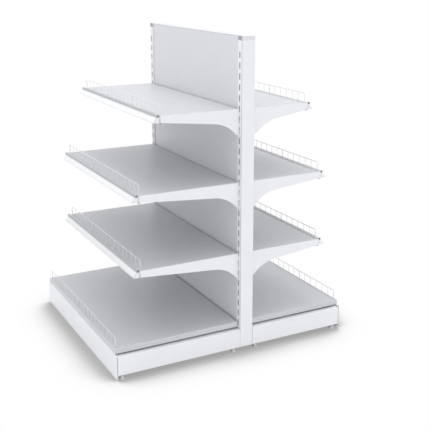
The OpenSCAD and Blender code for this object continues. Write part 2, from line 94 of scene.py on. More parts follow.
class Graph:
    """Thin builder around one node tree."""

    def __init__(self, tree: bpy.types.NodeTree) -> None:
        """Empty the tree and keep it."""
        tree.nodes.clear()
        self.tree = tree

    def node(self, kind: str, **values: object) -> bpy.types.Node:
        """Add one node and set its properties and inputs.

        Args:
            kind: Blender's node type name.
            values: property names, or input names with spaces as underscores.

        Returns:
            The new node.
        """
        made = self.tree.nodes.new(kind)
        for name, value in values.items():
            socket = made.inputs.get(name.replace("_", " "))
            if socket is not None and not hasattr(made, name):
                socket.default_value = value
            else:
                setattr(made, name, value)
        return made

    def link(self, source: Socket, target: Socket) -> None:
        """Join an output to an input."""
        self.tree.links.new(source, target)

    def math(self, kind: str, first: Value, second: Value = 0.0, clamp: bool = False) -> Socket:
        """Add a math node.

        Args:
            kind: the operation.
            first: socket or number.
            second: socket or number.
            clamp: keep the result between nought and one.

        Returns:
            The result socket.
        """
        made = self.node("ShaderNodeMath", operation=kind, use_clamp=clamp)
        for slot, value in enumerate((first, second)):
            if isinstance(value, (int, float)):
                made.inputs[slot].default_value = value
            else:
                self.link(value, made.inputs[slot])
        return made.outputs[0]

    def less(self, first: Value, second: Value) -> Socket:
        """Take the second value from the first."""
        return self.math("SUBTRACT", first, second)

    def size(self, value: Value) -> Socket:
        """Drop the sign of a value."""
        return self.math("ABSOLUTE", value)

    def product(self, first: Value, *others: Value) -> Value:
        """Multiply sockets and numbers.

        Args:
            first: the first factor.
            others: the other factors.

        Returns:
            The product.
        """
        result = first
        for other in others:
            result = self.math("MULTIPLY", result, other)
        return result

    def mix(self, amount: Value, first: object, second: object) -> Socket:
        """Mix two colours.

        Args:
            amount: socket or number.
            first: colour socket or value.
            second: colour socket or value.

        Returns:
            The mixed colour.
        """
        made = self.node("ShaderNodeMix", data_type="RGBA")
        factor, first_colour, second_colour, result = 0, 6, 7, 2
        for name, value in ((factor, amount), (first_colour, first), (second_colour, second)):
            if isinstance(value, Socket):
                self.link(value, made.inputs[name])
            elif name == factor:
                made.inputs[name].default_value = value
            else:
                made.inputs[name].default_value = (*value, 1.0)
        return made.outputs[result]

    def noise(self, vector: Socket, scale: float, detail: float) -> Socket:
        """Add a noise texture.

        Args:
            vector: coordinates in metres.
            scale: features per metre.
            detail: octaves.

        Returns:
            The noise value.
        """
        made = self.node("ShaderNodeTexNoise", Scale=scale, Detail=detail)
        self.link(vector, made.inputs["Vector"])
        return made.outputs[0]

    def cells(self, vector: Socket, scale: float) -> Socket:
        """Add a cell texture.

        Args:
            vector: coordinates in metres.
            scale: cells per metre.

        Returns:
            The distance to the middle of the cell.
        """
        made = self.node("ShaderNodeTexVoronoi", Scale=scale)
        self.link(vector, made.inputs["Vector"])
        return made.outputs["Distance"]

    def band(self, value: Socket, low: float, high: float) -> Socket:
        """Smooth step of a value.

        Args:
            value: the input.
            low: where the result leaves nought.
            high: where the result reaches one.

        Returns:
            The stepped value.
        """
        made = self.node("ShaderNodeMapRange", interpolation_type="SMOOTHSTEP")
        from_low, from_high = 1, 2
        made.inputs[from_low].default_value = low
        made.inputs[from_high].default_value = high
        self.link(value, made.inputs[0])
        return made.outputs[0]

    def fall(self, value: Socket, low: float, high: float) -> Socket:
        """Smooth step down, from one at low to nought at high."""
        return self.less(1.0, self.band(value, low, high))

    def stretched(self, vector: Socket, scale: Sequence[float]) -> Socket:
        """Scale coordinates by axis.

        Args:
            vector: the coordinates.
            scale: three factors.

        Returns:
            The scaled coordinates.
        """
        made = self.node("ShaderNodeMapping", Scale=tuple(scale))
        self.link(vector, made.inputs["Vector"])
        return made.outputs[0]

    def parts(self, vector: Socket) -> dict[str, Socket]:
        """Split a vector.

        Args:
            vector: the vector.

        Returns:
            Its three parts by axis letter.
        """
        made = self.node("ShaderNodeSeparateXYZ")
        self.link(vector, made.inputs[0])
        return {axis: made.outputs[axis] for axis in "XYZ"}

    def facing(self) -> dict[str, Socket]:
        """Split the surface normal into its parts by axis letter."""
        return self.parts(self.node("ShaderNodeNewGeometry").outputs["Normal"])

    def seen(self) -> Socket:
        """Tell what is looked at from what only gives light.

        Returns:
            One for rays from the camera, through glass or off a gloss, else nought.
        """
        path = self.node("ShaderNodeLightPath").outputs
        shown = self.math("MAXIMUM", path["Is Camera Ray"], path["Is Transmission Ray"])
        return self.math("MAXIMUM", shown, path["Is Glossy Ray"])

    def blend(self, amount: Socket, first: bpy.types.Node, second: bpy.types.Node) -> Socket:
        """Mix two shaders.

        Args:
            amount: share of the second.
            first: the first shader.
            second: the second shader.

        Returns:
            The mixed shader.
        """
        made = self.node("ShaderNodeMixShader")
        for slot, source in enumerate((amount, first.outputs[0], second.outputs[0])):
            self.link(source, made.inputs[slot])
        return made.outputs[0]


class SurfaceAge:
    """Node group shared by the finishes: tone drift, settled dust and scuffs near the floor.

    Attributes:
        SOCKETS: name, kind and direction of the group's sockets.
        DRIFT_TONE: colour that the slow tone change leads to.
        DUST_TONE: colour of the dust.
        SCUFF_TONE: colour of the scuffs.
        LEVEL: upward part of the normal where dust starts and where it is full.
        DRIFT_GRAIN: features per metre and octaves of the slow tone change.
        DRIFT_BAND: where that noise starts to show and where it is full.
        DUST_GRAIN: features per metre and octaves of the dust.
        DUST_BAND: where that noise starts to show and where it is full.
        DUST_ROUGH: roughness that full dust adds.
        SCUFF_FADE: height over which scuffs fade in.
        SCUFF_SHAPE: stretch of the noise that makes the scuffs long and flat.
        SCUFF_GRAIN: features and octaves of that noise.
        SCUFF_BAND: where that noise starts to show and where it is full.
        SCUFF_STRENGTH: share of the scuff colour where it is strongest.
        SCUFF_ROUGH: roughness that a full scuff adds.
    """

    SOCKETS = (
        ("Vector", "NodeSocketVector", "INPUT"),
        ("Normal Z", "NodeSocketFloat", "INPUT"),
        ("Colour", "NodeSocketColor", "INPUT"),
        ("Drift", "NodeSocketFloat", "INPUT"),
        ("Dust", "NodeSocketFloat", "INPUT"),
        ("Scuff Height", "NodeSocketFloat", "INPUT"),
        ("Colour", "NodeSocketColor", "OUTPUT"),
        ("Rough", "NodeSocketFloat", "OUTPUT"),
    )
    DRIFT_TONE: Colour = (0.71, 0.72, 0.75)
    DUST_TONE: Colour = (0.60, 0.585, 0.56)
    SCUFF_TONE: Colour = (0.33, 0.33, 0.34)
    LEVEL: Span = (0.7, 0.98)
    DRIFT_GRAIN: Grain = (7.0, 4.0)
    DRIFT_BAND: Span = (0.35, 0.75)
    DUST_GRAIN: Grain = (46.0, 8.0)
    DUST_BAND: Span = (0.42, 0.78)
    DUST_ROUGH = 0.9
    SCUFF_FADE = 0.12
    SCUFF_SHAPE = (3.0, 3.0, 95.0)
    SCUFF_GRAIN: Grain = (1.6, 6.0)
    SCUFF_BAND: Span = (0.57, 0.72)
    SCUFF_STRENGTH = 0.1
    SCUFF_ROUGH = 0.5

    def __init__(self) -> None:
        """Build the group once."""
        self.tree = bpy.data.node_groups.new("surface_age", "ShaderNodeTree")
        for name, kind, way in self.SOCKETS:
            self.tree.interface.new_socket(name=name, in_out=way, socket_type=kind)
        graph = Graph(self.tree)
        given = graph.node("NodeGroupInput").outputs
        out = graph.node("NodeGroupOutput").inputs
        where = given["Vector"]
        slow = graph.band(graph.noise(where, *self.DRIFT_GRAIN), *self.DRIFT_BAND)
        toned = graph.mix(graph.product(slow, given["Drift"]), given["Colour"], self.DRIFT_TONE)
        specks = graph.band(graph.noise(where, *self.DUST_GRAIN), *self.DUST_BAND)
        level = graph.band(given["Normal Z"], *self.LEVEL)
        dust = graph.product(level, specks, given["Dust"])
        dusty = graph.mix(dust, toned, self.DUST_TONE)
        low = graph.less(given["Scuff Height"], graph.parts(where)["Z"])
        near_floor = graph.band(low, 0.0, self.SCUFF_FADE)
        streaks = graph.noise(graph.stretched(where, self.SCUFF_SHAPE), *self.SCUFF_GRAIN)
        marks = graph.band(streaks, *self.SCUFF_BAND)
        scuff = graph.product(near_floor, marks, self.SCUFF_STRENGTH)
        graph.link(graph.mix(scuff, dusty, self.SCUFF_TONE), out["Colour"])
        dry, worn = graph.product(dust, self.DUST_ROUGH), graph.product(scuff, self.SCUFF_ROUGH)
        rough = graph.math("ADD", dry, worn)
        graph.link(rough, out["Rough"])


@dataclass(frozen=True)
class Finish:
    """Base of every finish: colour, age and gloss of one material.

    Attributes:
        name: material name.
        colour: linear base colour.
        roughness: mean roughness.
        drift: strength of the slow tone change.
        dust: strength of settled dust on level faces.
        scuff_height: height under which scuffs show.
        metallic: share of bare metal.
        relief: depth of the fine relief in metres.
        relief_strength: share of the relief that shows.
        gloss_grain: features per metre and octaves of the uneven gloss.
        gloss_swing: how much the gloss varies.
    """

    name: str
    colour: Colour
    roughness: float
    drift: float = 0.1
    dust: float = 0.05
    scuff_height: float = -1.0
    metallic: float = 0.0
    relief: float = 0.0001
    relief_strength: float = 0.6
    gloss_grain: Grain = (18.0, 5.0)
    gloss_swing: float = 0.12

    def gloss(self, graph: Graph, where: Socket) -> Value:
        """Give an extra roughness that swings about nought."""
        noise = graph.noise(where, *self.gloss_grain)
        return graph.product(graph.less(noise, 0.5), self.gloss_swing)

    def detail(self, graph: Graph, where: Socket) -> tuple[Socket, Value]:
        """Give the height of the fine relief and the extra roughness."""
        raise NotImplementedError

    def tint(self, graph: Graph, where: Socket, colour: Socket) -> Socket:
        """Let a finish change its colour over the surface."""
        return colour

    def dress(self, shader: bpy.types.Node) -> None:
        """Set the constants on the shader."""
        shader.inputs["Metallic"].default_value = self.metallic

    def build(self, age: SurfaceAge) -> bpy.types.Material:
        """Make the material.

        Args:
            age: the shared group.

        Returns:
            The finished material.
        """
        material = bpy.data.materials.new(self.name)
        material.use_nodes = True
        graph = Graph(material.node_tree)
        out = graph.node("ShaderNodeOutputMaterial")
        shader = graph.node("ShaderNodeBsdfPrincipled")
        graph.link(shader.outputs[0], out.inputs["Surface"])
        where = graph.node("ShaderNodeTexCoord").outputs["Object"]
        group = graph.node(
            "ShaderNodeGroup",
            node_tree=age.tree,
            Colour=(*self.colour, 1.0),
            Drift=self.drift,
            Dust=self.dust,
            Scuff_Height=self.scuff_height,
        )
        graph.link(where, group.inputs["Vector"])
        graph.link(graph.facing()["Z"], group.inputs["Normal Z"])
        height, rough = self.detail(graph, where)
        colour = self.tint(graph, where, group.outputs["Colour"])
        graph.link(colour, shader.inputs["Base Color"])
        uneven = graph.math("ADD", group.outputs["Rough"], rough)
        total = graph.math("ADD", uneven, self.roughness, clamp=True)
        graph.link(total, shader.inputs["Roughness"])
        bump = graph.node("ShaderNodeBump", Strength=self.relief_strength, Distance=self.relief)
        graph.link(height, bump.inputs["Height"])
        graph.link(bump.outputs[0], shader.inputs["Normal"])
        self.dress(shader)
        return material


@dataclass(frozen=True)
class PowderCoat(Finish):
    """Satin powder coat with orange peel and small pits.

    Attributes:
        peel: humps per metre and octaves of the orange peel.
        pits: pits per metre and octaves.
        pit_band: where that noise starts to dip and where a pit is full.
        pit_depth: depth of a pit as a share of the relief.
        clear: weight of the clear binder over the pigment.
        clear_roughness: roughness of that binder.
        ior: its index of refraction.
    """

    relief: float = 0.00025
    peel: Grain = (520.0, 2.0)
    pits: Grain = (1900.0, 1.0)
    pit_band: Span = (0.66, 0.8)
    pit_depth: float = 0.5
    clear: float = 0.12
    clear_roughness: float = 0.25
    ior: float = 1.5

    def detail(self, graph: Graph, where: Socket) -> tuple[Socket, Value]:
        """Give orange peel, pits and uneven gloss.

        Args:
            graph: the material's graph.
            where: object coordinates.

        Returns:
            Height socket and extra roughness.
        """
        peel = graph.noise(where, *self.peel)
        pits = graph.band(graph.noise(where, *self.pits), *self.pit_band)
        height = graph.less(peel, graph.product(pits, self.pit_depth))
        return height, self.gloss(graph, where)

    def dress(self, shader: bpy.types.Node) -> None:
        """Put the clear binder over the pigment.

        Args:
            shader: the Principled BSDF.
        """
        super().dress(shader)
        shader.inputs["Coat Weight"].default_value = self.clear
        shader.inputs["Coat Roughness"].default_value = self.clear_roughness
        shader.inputs["IOR"].default_value = self.ior


@dataclass(frozen=True)
class SlottedCoat(PowderCoat):
    """Powder coat of the uprights: darker in and round each slot, and bare steel inside the tube
    darkened as painted shade.

    Attributes:
        pitch: distance between slot centres.
        first: height of the centre of the lowest slot.
        last: height of the end of the highest slot.
        last_fade: height over which the darkening round the slots ends above it.
        straight: half the straight length of a slot.
        axis_x: distance of each upright from the middle of the bay.
        axis_y: place of the uprights across the bay.
        slot_dark: distances from a slot's middle line where the darkening is full and where it
            ends.
        slot_dark_tone: colour of the darkening in and round the slots.
        slot_dark_grain: features per metre and octaves of the noise that breaks up that
            darkening.
        slot_dark_share: least share of that darkening, and what the noise adds to it.
        inside: half width and half depth of the bare inside, which takes painted shade.
        inside_fade: distances over which the bare inside starts.
        bare_and_shade_tones: darkest and palest tone of the bare steel, darkened as painted
            shade.
        bare_and_shade_grain: features per metre and octaves of the change between them.
    """

    pitch: float = 0.05
    first: float = 0.05
    last: float = 1.464
    last_fade: float = 0.004
    straight: float = 0.01125
    axis_x: float = 0.5
    axis_y: float = 0.06
    slot_dark: Span = (0.0022, 0.0095)
    slot_dark_tone: Colour = (0.36, 0.36, 0.38)
    slot_dark_grain: Grain = (210.0, 4.0)
    slot_dark_share: Span = (0.25, 0.5)
    inside: Span = (0.0187, 0.0344)
    inside_fade: Span = (0.0004, 0.0003)
    bare_and_shade_tones: tuple[Colour, Colour] = ((0.13, 0.13, 0.135), (0.24, 0.235, 0.23))
    bare_and_shade_grain: Grain = (60.0, 4.0)

    def tint(self, graph: Graph, where: Socket, colour: Socket) -> Socket:
        """Darken in and round each slot, and paint shade over the bare steel inside the tube.

        Args:
            graph: the material's graph.
            where: object coordinates.
            colour: colour so far.

        Returns:
            The final colour.
        """
        at = graph.parts(where)
        aside = graph.size(graph.less(graph.size(at["X"]), self.axis_x))
        across = graph.size(graph.less(at["Y"], self.axis_y))
        rise = graph.math("DIVIDE", graph.less(at["Z"], self.first - self.pitch / 2), self.pitch)
        along = graph.product(graph.less(graph.math("FRACT", rise), 0.5), self.pitch)
        beyond = graph.math("MAXIMUM", graph.less(graph.size(along), self.straight), 0.0)
        square = graph.math("ADD", graph.product(aside, aside), graph.product(beyond, beyond))
        # Darker in and round each slot, broken up by noise.
        near = graph.fall(graph.math("SQRT", square), *self.slot_dark)
        below_last = graph.fall(at["Z"], self.last, self.last + self.last_fade)
        least, added = self.slot_dark_share
        patches = graph.product(graph.noise(where, *self.slot_dark_grain), added)
        broken = graph.math("ADD", patches, least)
        slot_darkened = graph.mix(graph.product(near, below_last, broken), colour, self.slot_dark_tone)
        deep_x, deep_y = (
            graph.fall(way, half, half + fade)
            for way, half, fade in zip((aside, across), self.inside, self.inside_fade)
        )
        # Painted shade: bare steel inside the tube, its tones darkened to stand for the shade
        # there.
        bare = graph.mix(graph.noise(where, *self.bare_and_shade_grain), *self.bare_and_shade_tones)
        return graph.mix(graph.product(deep_x, deep_y), slot_darkened, bare)


@dataclass(frozen=True)
class ZincPlate(Finish):
    """Bright zinc plated steel with drawn lines and spangle.

    Attributes:
        spangle: crystals per metre.
        spangle_depth: depth of the spangle as a share of the drawn lines.
        spangle_middle: distance from a crystal's middle where the gloss is the mean one.
        spangle_swing: how much the gloss varies over a crystal.
        lines_shape: stretch of the noise that makes the drawn lines long.
        lines_grain: features and octaves of that noise.
    """

    metallic: float = 0.85
    relief: float = 0.00012
    spangle: float = 420.0
    spangle_depth: float = 0.4
    spangle_middle: float = 0.4
    spangle_swing: float = 0.15
    lines_shape: Place = (1.0, 40.0, 40.0)
    lines_grain: Grain = (60.0, 2.0)

    def detail(self, graph: Graph, where: Socket) -> tuple[Socket, Value]:
        """Give spangle and drawn lines.

        Args:
            graph: the material's graph.
            where: object coordinates.

        Returns:
            Height socket and extra roughness.
        """
        crystals = graph.cells(where, self.spangle)
        drawn = graph.noise(graph.stretched(where, self.lines_shape), *self.lines_grain)
        height = graph.math("ADD", graph.product(crystals, self.spangle_depth), drawn)
        gloss = graph.product(graph.less(crystals, self.spangle_middle), self.spangle_swing)
        return height, gloss


@dataclass(frozen=True)
class ExtrudedPlastic(Finish):
    """Extruded plastic with long die lines and a darker round edge.

    Attributes:
        lines_shape: stretch of the noise that makes the die lines long.
        lines_grain: features and octaves of that noise.
        edge: colour of the outward-facing half of the round edge.
        first: height of the lowest rail's round edge.
        pitch: height from one rail to the next.
        half: half the height of the round edge.
        half_fade: shares of that height where the darker colour ends.
        outward: outward part of the normal where the darker colour starts and is full.
        axis_y: place of the uprights across the bay.
    """

    relief: float = 0.00008
    gloss_grain: Grain = (30.0, 4.0)
    gloss_swing: float = 0.14
    lines_shape: Place = (0.02, 1.0, 1.0)
    lines_grain: Grain = (2600.0, 2.0)
    edge: Colour = (0.46, 0.465, 0.48)
    first: float = 0.4995
    pitch: float = 0.35
    half: float = 0.0058
    half_fade: Span = (0.85, 1.15)
    outward: Span = (-0.25, 0.15)
    axis_y: float = 0.06

    def detail(self, graph: Graph, where: Socket) -> tuple[Socket, Value]:
        """Give die lines along the bay and uneven gloss."""
        lines = graph.noise(graph.stretched(where, self.lines_shape), *self.lines_grain)
        return lines, self.gloss(graph, where)

    def tint(self, graph: Graph, where: Socket, colour: Socket) -> Socket:
        """Darken the outward half of the round edge.

        Args:
            graph: the material's graph.
            where: object coordinates.
            colour: colour so far.

        Returns:
            The final colour.
        """
        at = graph.parts(where)
        rise = graph.math("DIVIDE", graph.less(at["Z"], self.first - self.pitch / 2), self.pitch)
        phase = graph.less(graph.math("FRACT", rise), 0.5)
        aside = graph.product(graph.size(phase), self.pitch)
        inside = graph.fall(aside, *(self.half * share for share in self.half_fade))
        side = graph.math("SIGN", graph.less(at["Y"], self.axis_y))
        outward = graph.band(graph.product(graph.facing()["Y"], side), *self.outward)
        return graph.mix(graph.product(inside, outward), colour, self.edge)


@dataclass(frozen=True)
class MouldedPlastic(Finish):
    """Moulded plastic with a spark eroded grain and painted shade on the faces over the slots.

    Attributes:
        grain: grain cells per metre.
        dull: features per metre and octaves of the uneven gloss.
        dull_share: roughness that this noise adds.
        side: painted shade colour of the faces that look across the bay.
        across: sideways part of the normal where that colour starts and is full.
    """

    relief: float = 0.0002
    grain: float = 1100.0
    dull: Grain = (25.0, 4.0)
    dull_share: float = 0.1
    side: Colour = (0.4, 0.402, 0.41)
    across: Span = (0.6, 0.85)

    def detail(self, graph: Graph, where: Socket) -> tuple[Socket, Value]:
        """Give a leathery mould grain and uneven gloss."""
        dull = graph.product(graph.noise(where, *self.dull), self.dull_share)
        return graph.cells(where, self.grain), dull

    def tint(self, graph: Graph, where: Socket, colour: Socket) -> Socket:
        """Paint shade on the faces that look across the bay."""
        across = graph.band(graph.size(graph.facing()["Y"]), *self.across)
        return graph.mix(across, colour, self.side)


@dataclass(frozen=True)
class CardStock(Finish):
    """Blank white card with paper fibre.

    Attributes:
        fibre_shape: stretch of the noise that lays the fibres along the card.
        fibre_grain: features and octaves of that noise.
        fibre_rough: roughness that the fibres add.
    """

    relief: float = 0.00006
    fibre_shape: Place = (1.0, 1.0, 3.0)
    fibre_grain: Grain = (900.0, 6.0)
    fibre_rough: float = 0.1

    def detail(self, graph: Graph, where: Socket) -> tuple[Socket, Value]:
        """Give paper fibre."""
        fibre = graph.noise(graph.stretched(where, self.fibre_shape), *self.fibre_grain)
        return fibre, graph.product(fibre, self.fibre_rough)


class Shop:
    """Mesh tools of Blender, used the way a modeller would.

    Attributes:
        SMOOTH: edges flatter than this are shaded smooth.
        FACING: part of a normal along an axis from which a face looks that way.
        MERGE: distance under which points are one.
    """

    SMOOTH = math.radians(35)
    FACING = 0.9
    MERGE = 0.000001

    @staticmethod
    def clear() -> None:
        """Deselect everything in object mode."""
        if bpy.context.object is not None and bpy.context.object.mode != "OBJECT":
            bpy.ops.object.mode_set(mode="OBJECT")
        bpy.ops.object.select_all(action="DESELECT")

    @staticmethod
    def pick(piece: bpy.types.Object) -> None:
        """Select one object and make it the active one.

        Args:
            piece: the object.
        """
        Shop.clear()
        piece.select_set(True)
        bpy.context.view_layer.objects.active = piece

    @staticmethod
    def name(label: str) -> bpy.types.Object:
        """Name the active object and its mesh.

        Args:
            label: the piece's name.

        Returns:
            The active object.
        """
        made = bpy.context.object
        made.name = label
        made.data.name = label
        return made

    @staticmethod
    def settle(piece: bpy.types.Object) -> bpy.types.Object:
        """Put the origin at the frame's origin, with no rotation or scale left.

        Args:
            piece: the object.

        Returns:
            The same object.
        """
        Shop.pick(piece)
        bpy.ops.object.transform_apply(location=True, rotation=True, scale=True)
        return piece

    @staticmethod
    def block(label: str, low: Sequence[float], high: Sequence[float]) -> bpy.types.Object:
        """Make a block between two corners.

        Args:
            label: the piece's name.
            low: lowest corner in metres.
            high: highest corner in metres.

        Returns:
            The block.
        """
        Shop.clear()
        middle = [(a + b) / 2 for a, b in zip(low, high)]
        bpy.ops.mesh.primitive_cube_add(size=1.0, location=middle)
        made = Shop.name(label)
        made.scale = [abs(b - a) for a, b in zip(low, high)]
        return Shop.settle(made)

    @staticmethod
    def turned(
        label: str, start: Vector, stop: Vector, radii: Span, sides: int
    ) -> bpy.types.Object:
        """Turn a cone or cylinder between two points.

        Args:
            label: the piece's name.
            start: middle of the first end.
            stop: middle of the second end.
            radii: radius at the first and the second end.
            sides: corners of the section.

        Returns:
            The turned piece.
        """
        Shop.clear()
        axis = stop - start
        bpy.ops.mesh.primitive_cone_add(
            vertices=sides,
            radius1=radii[0],
            radius2=radii[1],
            depth=axis.length,
            location=(start + stop) / 2,
            rotation=axis.to_track_quat("Z", "Y").to_euler(),
        )
        return Shop.settle(Shop.name(label))

    @staticmethod
    def edit_faces(
        piece: bpy.types.Object, chosen: Callable[[bpy.types.MeshPolygon], bool]
    ) -> None:
        """Select faces and enter edit mode.

        Args:
            piece: the object.
            chosen: tells whether a face is wanted.
        """
        Shop.pick(piece)
        bpy.ops.object.mode_set(mode="EDIT")
        bpy.ops.mesh.select_mode(type="FACE")
        bpy.ops.mesh.select_all(action="DESELECT")
        bpy.ops.object.mode_set(mode="OBJECT")
        for face in piece.data.polygons:
            face.select = chosen(face)
        bpy.ops.object.mode_set(mode="EDIT")

    @staticmethod
    def step(inset: float, shift: Sequence[float]) -> None:
        """Inset the selected faces and push the inner ones along, in edit mode."""
        bpy.ops.mesh.inset(thickness=inset, depth=0.0)
        bpy.ops.mesh.extrude_region_move(TRANSFORM_OT_translate={"value": tuple(shift)})

    @staticmethod
    def closed(piece: bpy.types.Object) -> None:
        """Merge doubled points and turn the faces outward.

        Args:
            piece: the object.
        """
        Shop.edit_faces(piece, lambda face: True)
        bpy.ops.mesh.remove_doubles(threshold=Shop.MERGE)
        bpy.ops.mesh.normals_make_consistent(inside=False)
        bpy.ops.object.mode_set(mode="OBJECT")

    @staticmethod
    def bevelled(piece: bpy.types.Object, width: float, segments: int) -> None:
        """Round the edges with an applied modifier.

        Args:
            piece: the object.
            width: bevel width in metres.
            segments: steps round each edge.
        """
        Shop.pick(piece)
        bpy.ops.object.modifier_add(type="BEVEL")
        modifier = piece.modifiers[-1]
        modifier.width = width
        modifier.segments = segments
        modifier.limit_method = "ANGLE"
        bpy.ops.object.modifier_apply(modifier=modifier.name)
        Shop.closed(piece)
        bpy.ops.object.shade_smooth_by_angle(angle=Shop.SMOOTH)

    @staticmethod
    def joined(label: str, pieces: Sequence[bpy.types.Object]) -> bpy.types.Object:
        """Join pieces into one.

        Args:
            label: name of the result.
            pieces: the parts.

        Returns:
            The joined piece.
        """
        Shop.clear()
        for piece in pieces:
            piece.select_set(True)
        bpy.context.view_layer.objects.active = pieces[0]
        bpy.ops.object.join()
        return Shop.name(label)


@dataclass(frozen=True)
class Fitting:
    """A piece that repeats: modelled once at the frame's origin and copied to its places.

    Attributes:
        model: the modelled piece.
        finish: its finish.
        slot: name of a material slot in the record; not used.
    """

    model: bpy.types.Object
    finish: bpy.types.Material
    slot: str

    def __post_init__(self) -> None:
        """Dress the model."""
        self.model.data.materials.append(self.finish)

    def fit(
        self, label: str, body: str, place: Sequence[float], turn: float = 0.0
    ) -> bpy.types.Object:
        """Copy the model with a mesh of its own, put the copy in place and let it ride.

        Args:
            label: the copy's name.
            body: the body that carries it.
            place: where the model's origin comes.
            turn: turn about the vertical in radians.

        Returns:
            The copy.
        """
        piece = self.model.copy()
        piece.data = self.model.data.copy()
        piece.name = piece.data.name = label
        bpy.context.scene.collection.objects.link(piece)
        piece.location = place
        piece.rotation_euler.z = turn
        Shop.settle(piece)
        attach(piece, body)
        LOG.info("%s rides on %s", label, body)
        return piece

    def put_away(self) -> None:
        """Take the model out of the scene."""
        bpy.data.meshes.remove(self.model.data)


@dataclass(frozen=True)
class RailTrim:
    """Plugs, end plates and blank label card of the sloping price rails.

    They are modelled for a rail that faces plus Y, with the origin on its round edge's axis.

    Attributes:
        length: length of a rail.
        height: height of a rail.
        bead: outer radius of the round edge tube.
        bore: radius of its bore.
        tilt: angle between the label strip and the vertical in degrees.
        strip: length of the label strip.
        ledge: distance of the strip's face from its middle plane.
        shank: how far a plug reaches into the bore.
        shank_taper: its inner and outer radius as shares of the bore.
        shank_sides: corners of its section.
        head: thickness of a plug's head.
        head_taper: its inner and outer radius as shares of the bead.
        head_sides: corners of its section.
        head_rim: width of the rim round the dish as a share of the bead.
        head_dish: depth of the dish as a share of the head.
        head_bevel: bevel of the head.
        cover: thickness of an end plate.
        cover_bevel: bevel of an end plate as a share of its thickness.
        rounding: steps of a bevel.
        card: thickness of the label card.
        card_top: gap between the round edge and the card.
        card_foot: distance of its lower edge from the strip's end.
        card_end: distance of its ends from the rail's ends.
        card_gap: gap between the strip and the card.
        card_cuts: cuts across the card, so that it can bow.
        bow: how far the middle of the card stands off the strip.
    """

    length: float
    height: float
    bead: float = 0.006
    bore: float = 0.0045
    tilt: float = 36.0
    strip: float = 0.036
    ledge: float = 0.00075
    shank: float = 0.009
    shank_taper: Span = (0.9, 0.98)
    shank_sides: int = 28
    head: float = 0.0013
    head_taper: Span = (0.96, 0.88)
    head_sides: int = 36
    head_rim: float = 0.34
    head_dish: float = 0.5
    head_bevel: float = 0.00018
    cover: float = 0.0008
    cover_bevel: float = 0.3
    rounding: int = 2
    card: float = 0.0005
    card_top: float = 0.0003
    card_foot: float = 0.0018
    card_end: float = 0.002
    card_gap: float = 0.0001
    card_cuts: int = 9
    bow: float = 0.0007

    @classmethod
    def like(cls, node: str) -> "RailTrim":
        """Take the length and height of a price rail."""
        low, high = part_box(node)
        return cls(high.x - low.x, high.z - low.z)

    def plug(self) -> bpy.types.Object:
        """Model the near end's plug: a shank in the bore and a dished, bevelled head.

        Returns:
            The plug.
        """
        inner, mouth, outer = (Vector((x, 0.0, 0.0)) for x in (-self.shank, 0.0, self.head))
        narrow, wide = (self.bore * share for share in self.shank_taper)
        shank = Shop.turned("plug_shank", inner, mouth, (narrow, wide), self.shank_sides)
        back, front = (self.bead * share for share in self.head_taper)
        head = Shop.turned("plug_head", mouth, outer, (back, front), self.head_sides)
        Shop.edit_faces(head, lambda face: face.normal.x > Shop.FACING)
        Shop.step(self.bead * self.head_rim, (-self.head * self.head_dish, 0.0, 0.0))
        bpy.ops.object.mode_set(mode="OBJECT")
        Shop.bevelled(head, self.head_bevel, self.rounding)
        return Shop.joined("plug", (head, shank))

    def plate(self) -> bpy.types.Object:
        """Model the plate that closes the three cornered cell under the strip.

        Returns:
            The plate, with its middle plane on the origin.
        """
        foot = self.bead - self.height
        reach = (self.strip - self.ledge) * math.sin(math.radians(self.tilt))
        corners = ((-self.bead, 0.0), (-self.bead, foot), (reach, foot), (0.0, 0.0))
        Shop.clear()
        bpy.ops.mesh.primitive_circle_add(vertices=len(corners), fill_type="NGON")
        piece = Shop.name("plate")
        for vertex, (across, up) in zip(piece.data.vertices, corners):
            vertex.co = (self.cover / 2, across, up)
        Shop.edit_faces(piece, lambda face: True)
        inward = (-self.cover, 0.0, 0.0)
        bpy.ops.mesh.extrude_region_move(TRANSFORM_OT_translate={"value": inward})
        bpy.ops.object.mode_set(mode="OBJECT")
        Shop.closed(piece)
        Shop.bevelled(piece, self.cover * self.cover_bevel, self.rounding)
        return piece

    def label_card(self) -> bpy.types.Object:
        """Model the blank card that lies on the sloping strip and bows a little between the lips.

        Returns:
            The card.
        """
        lean = math.radians(self.tilt)
        down = Vector((0.0, math.sin(lean), -math.cos(lean)))
        out = Vector((0.0, math.cos(lean), math.sin(lean)))
        upper, lower = self.bead + self.card_top, self.strip - self.card_foot
        half = (lower - upper) / 2
        reach = self.length / 2 - self.card_end
        piece = Shop.block("card", (-reach, -half, 0.0), (reach, half, self.card))
        Shop.edit_faces(piece, lambda face: True)
        bpy.ops.mesh.subdivide(number_cuts=self.card_cuts)
        bpy.ops.object.mode_set(mode="OBJECT")
        for point in piece.data.vertices:
            share = point.co.y / half
            point.co.z += self.bow * (1.0 - share * share)
        piece.rotation_euler.x = lean - math.pi / 2
        piece.location = down * (upper + half) + out * (self.ledge + self.card_gap)
        Shop.settle(piece)
        bpy.ops.object.shade_smooth_by_angle(angle=Shop.SMOOTH)
        return piece

    def build(
        self, plug: bpy.types.Material, plate: bpy.types.Material, paper: bpy.types.Material
    ) -> tuple[Fitting, Fitting, Fitting]:
        """Model the three pieces.

        Args:
            plug: finish of the plugs.
            plate: finish of the end plates.
            paper: finish of the card.

        Returns:
            Plug, end plate and card.
        """
        return (
            Fitting(self.plug(), plug, "cap_grey"),
            Fitting(self.plate(), plate, "rail_grey"),
            Fitting(self.label_card(), paper, "white_paint"),
        )

